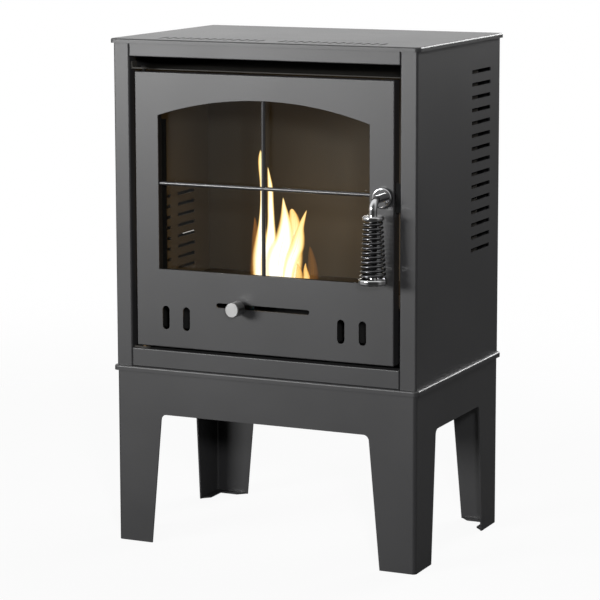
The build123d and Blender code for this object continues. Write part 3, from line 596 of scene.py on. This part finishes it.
# Sealing strip: black woven glass-fibre tape, glued to the window frame, that the glass
# rests on.
tape = Finish(bpy.data.materials.new("sealing tape"))
weft, warp = (
    tape.node(
        "TexWave",
        {"wave_profile": "SIN"},
        {"Vector": tape.stretched((1.0, 1.0, 1.0), (0.0, lean, 0.0)), "Scale": 260.0},
    )
    for lean in (0.8, -0.8)
)
weave = tape.node("Math", {"operation": "MAXIMUM"}, {0: weft, 1: warp})
tape.surface(Base_Color=tape.blend(weave, grey(0.006), grey(0.022)), Roughness=0.9)
tape.surface(Normal=tape.relief(weave, 0.0004, 0.7))
dress(tape.owner, "glass_gasket")

# Door glass: a flat pane of clear ceramic glass, slightly brown in the mass, with a faint
# film of soot on it.
pane = Finish(bpy.data.materials.new("ceramic glass"))
film = pane.noise(pane.stretched((1.0, 1.0, 1.0)), 14.0, 4.0)
mirrored = pane.node("BsdfAnisotropic", {}, {"Color": grey(0.9), "Roughness": 0.02})
clear = pane.node("BsdfTransparent", {}, {"Color": (0.93, 0.925, 0.9, 1.0)})
facing = pane.node("Fresnel", {}, {"IOR": 1.45})
mixed = pane.node("MixShader", {}, {0: facing * 0.5 + 0.008 * film, 1: clear, 2: mirrored})
pane.tree.links.new(mixed.socket, pane.tree.nodes["Material Output"].inputs["Surface"])
pane.tree.nodes.remove(pane.shader)
dress(pane.owner, "door_glass")

# Screws that clamp the rails to the window frame, three up each side, with the same cross
# recess as those of the back panel.
rail_screw_radius = 0.0036
rail_screw_height = 0.002
rail_low, rail_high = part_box("glass_rail_screws")
rail_screw = pan_head(rail_screw_radius, rail_screw_height, recess_reach, recess_width)
glass_rail_screw_heads = fastener_rows(
    fastener_rows_tree,
    "glass_rail_screw_heads",
    "door",
    "zinc_steel",
    Columns=2,
    Rows=3,
    Width=rail_high[0] - rail_low[0] - 2 * rail_screw_radius,
    Height=rail_high[2] - rail_low[2] - 2 * rail_screw_radius,
    Place=(0.0, rail_high[1] - rail_screw_height, (rail_low[2] + rail_high[2]) / 2),
    Fastener=rail_screw,
    Finish=zinc_plating,
)
bpy.data.objects.remove(rail_screw)
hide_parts("glass_rail_screws")

# Handle: chromed rosette, bent rod and end caps, with faint smears in the shine. The grip is
# a coil of dark polished spring wire that widens downwards and stays cool to the hand.


def chromed(name, colour, dull):
    plate = Finish(bpy.data.materials.new(name))
    place = plate.stretched((1.0, 1.0, 1.0))
    smears = plate.noise(plate.stretched((60.0, 60.0, 18.0)), 1.0, 3.0)
    specks = plate.noise(place, 900.0, 2.0)
    dark = tuple(0.86 * channel for channel in colour[:3]) + (1.0,)
    plate.surface(Base_Color=plate.blend(smears, dark, colour), Metallic=1.0)
    plate.surface(Roughness=dull + 0.09 * plate.smooth(smears, 0.5, 0.75) + 0.03 * (specks - 0.5))
    plate.surface(Normal=plate.relief(specks, 0.00002, 0.3))
    return plate.owner


chrome = chromed("chrome", (0.74, 0.74, 0.75, 1.0), 0.05)
spring_wire = chromed("dark spring wire", (0.15, 0.15, 0.155, 1.0), 0.16)
dress(chrome, "handle_rosette", "handle_rod", "grip_cap_upper", "grip_cap_lower")
dress(spring_wire, "grip_coil")
dress(zinc_plating, "latch_cam", "cam_nut")

# Regulator knob: turned from bright steel bar, with the lathe's rings on its face and side.
# Its stem, carriage and arm, and the guides in the door, are plated black.
knob_axis = (-0.036, 0.3828)
turned = Finish(bpy.data.materials.new("turned steel"))
x, y, z = (
    turned.node("SeparateXYZ", {}, {0: turned.node("TexCoord", {}, {}, "Object")}, name)
    for name in "XYZ"
)
radius = ((x - knob_axis[0]) ** 2.0 + (z - knob_axis[1]) ** 2.0) ** 0.5
ring_place = turned.node("CombineXYZ", {}, {"X": radius * 5200.0, "Y": y * 5200.0, "Z": 0.0})
rings = turned.noise(ring_place, 1.0, 3.0, 0.6)
turned.surface(Base_Color=turned.blend(rings, grey(0.62), grey(0.8, 1.0, 0.98)), Metallic=1.0)
turned.surface(Roughness=0.22 + 0.18 * rings, Normal=turned.relief(rings, 0.00008, 0.6))
dress(turned.owner, "regulator_knob")
dress(black_plating, "slider_stem", "slider_carriage", "slider_arm", "slider_guides")

# Studio floor: a round of matt paper under the stove that keeps its soft shadow and fades
# into the white of the room at its rim.
floor_radius = 2.6
fade_start, fade_end = 0.9, 2.4
floor_white = 0.92
disc = bmesh.new()
bmesh.ops.create_circle(disc, cap_ends=True, segments=96, radius=floor_radius)
mesh = bpy.data.meshes.new("floor")
disc.to_mesh(mesh)
disc.free()
floor = bpy.data.objects.new("floor", mesh)
bpy.context.scene.collection.objects.link(floor)
paper = Finish(bpy.data.materials.new("floor paper"))
seen = paper.node("LightPath", {}, {}, "Is Camera Ray")
paper.surface(Base_Color=paper.blend(seen, grey(0.05), grey(0.9)), Roughness=0.95)
white = paper.node("Emission", {}, {"Color": grey(1.0), "Strength": 1.0})
matt = Signal(paper, paper.shader.outputs[0])
lit = paper.node("MixShader", {}, {0: floor_white * seen, 1: matt, 2: white})
reach = paper.node(
    "VectorMath", {"operation": "LENGTH"}, {0: paper.node("TexCoord", {}, {}, "Object")}, "Value"
)
nothing = paper.node("BsdfTransparent", {}, {})
fade = paper.smooth(reach, fade_start, fade_end)
faded = paper.node("MixShader", {}, {0: fade, 1: lit, 2: nothing})
paper.tree.links.new(faded.socket, paper.tree.nodes["Material Output"].inputs["Surface"])
floor.data.materials.append(paper.owner)
floor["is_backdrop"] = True

# Room: white to the left and overhead, dark in front and behind to the right, which gives
# the chrome its bands. It is plain white only where the camera sees it.
world = bpy.data.worlds.new("studio")
bpy.context.scene.world = world
room = Finish(world)
way = room.node("TexCoord", {}, {}, "Generated")
to_front, to_back = (
    room.node("VectorMath", {"operation": "DOT_PRODUCT"}, {0: way, 1: aim}, "Value")
    for aim in ((0.42, -0.9, 0.0), (0.6, 0.8, 0.0))
)
upwards = room.node("SeparateXYZ", {}, {0: way}, "Z")
front_wall = 1 - 0.9 * room.smooth(to_front, 0.35, 0.85)
back_wall = 1 - 0.75 * room.smooth(to_back, 0.2, 0.8)
ground = 0.12 + 0.88 * room.smooth(upwards, -0.3, 0.1)
mirrored_ray = room.node("LightPath", {}, {}, "Is Glossy Ray")
room_light = front_wall * back_wall * ground * (0.05 + 0.95 * mirrored_ray)
camera_ray = room.node("LightPath", {}, {}, "Is Camera Ray")
background = room.tree.nodes["Background"]
room.join(camera_ray + (1 - camera_ray) * room_light, background.inputs["Strength"])
background.inputs["Color"].default_value = (1.0, 1.0, 1.0, 1.0)


def lamp(name, kind, place, aim, power, colour, size):
    """A studio lamp at a place, turned to what it lights."""
    light = bpy.data.lights.new(name, kind)
    light.energy = power
    light.color = colour
    if kind == "AREA":
        light.shape = "RECTANGLE"
        light.size, light.size_y = size
    else:
        light.shadow_soft_size = size
    holder = bpy.data.objects.new(name, light)
    holder.visible_camera = False
    bpy.context.scene.collection.objects.link(holder)
    turn = (Vector(aim) - Vector(place)).to_track_quat("-Z", "Y").to_matrix().to_4x4()
    holder.matrix_world = Matrix.Translation(place) @ turn
    return holder


stove_middle = (0.0, -0.05, 0.5)
plain = (1.0, 1.0, 1.0)
lamp("front box", "AREA", (-1.7, -2.95, 1.12), stove_middle, 77.0, plain, (1.4, 0.6))
lamp("back box", "AREA", (-1.3, 2.8, 1.7), stove_middle, 8.0, plain, (2.4, 1.4))
lamp("side box", "AREA", (0.8, 3.0, 1.6), stove_middle, 60.0, plain, (1.6, 1.0))
key = lamp("key", "AREA", (1.72, -3.1, 1.35), stove_middle, 78.0, plain, (0.25, 0.25))
warm = (1.0, 0.55, 0.13)
flame_light = lamp("flame glow", "POINT", (0.0, -0.062, 0.47), stove_middle, 1.4, warm, 0.03)
for unseen in (key, flame_light):
    unseen.visible_glossy = False

# Camera: the photograph's place and lens, its frame shifted down to hold the feet.
camera_place = Vector((1.63256, -3.52992, 1.04727))
yaw, pitch, roll = (math.radians(angle) for angle in (24.87, 8.58, -0.12))
ahead = Vector((-math.sin(yaw) * math.cos(pitch), math.cos(yaw) * math.cos(pitch), -math.sin(pitch)))
right = Vector((math.cos(yaw), math.sin(yaw), 0.0))
upward = right.cross(ahead)
level_right = right * math.cos(roll) + upward * math.sin(roll)
level_up = upward * math.cos(roll) - right * math.sin(roll)
turn = Matrix((level_right, level_up, -ahead)).transposed().to_4x4()
eye = bpy.data.cameras.new("camera")
eye.sensor_fit = "HORIZONTAL"
eye.sensor_width = 36.0
eye.lens = 152.4
eye.shift_y = -0.0917
camera = bpy.data.objects.new("camera", eye)
bpy.context.scene.collection.objects.link(camera)
camera.matrix_world = Matrix.Translation(camera_place) @ turn
bpy.context.scene.camera = camera
bpy.context.scene.view_settings.view_transform = "Standard"

plain = [[[float(n) for n in corner] for corner in box] for box in (cad_box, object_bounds())]
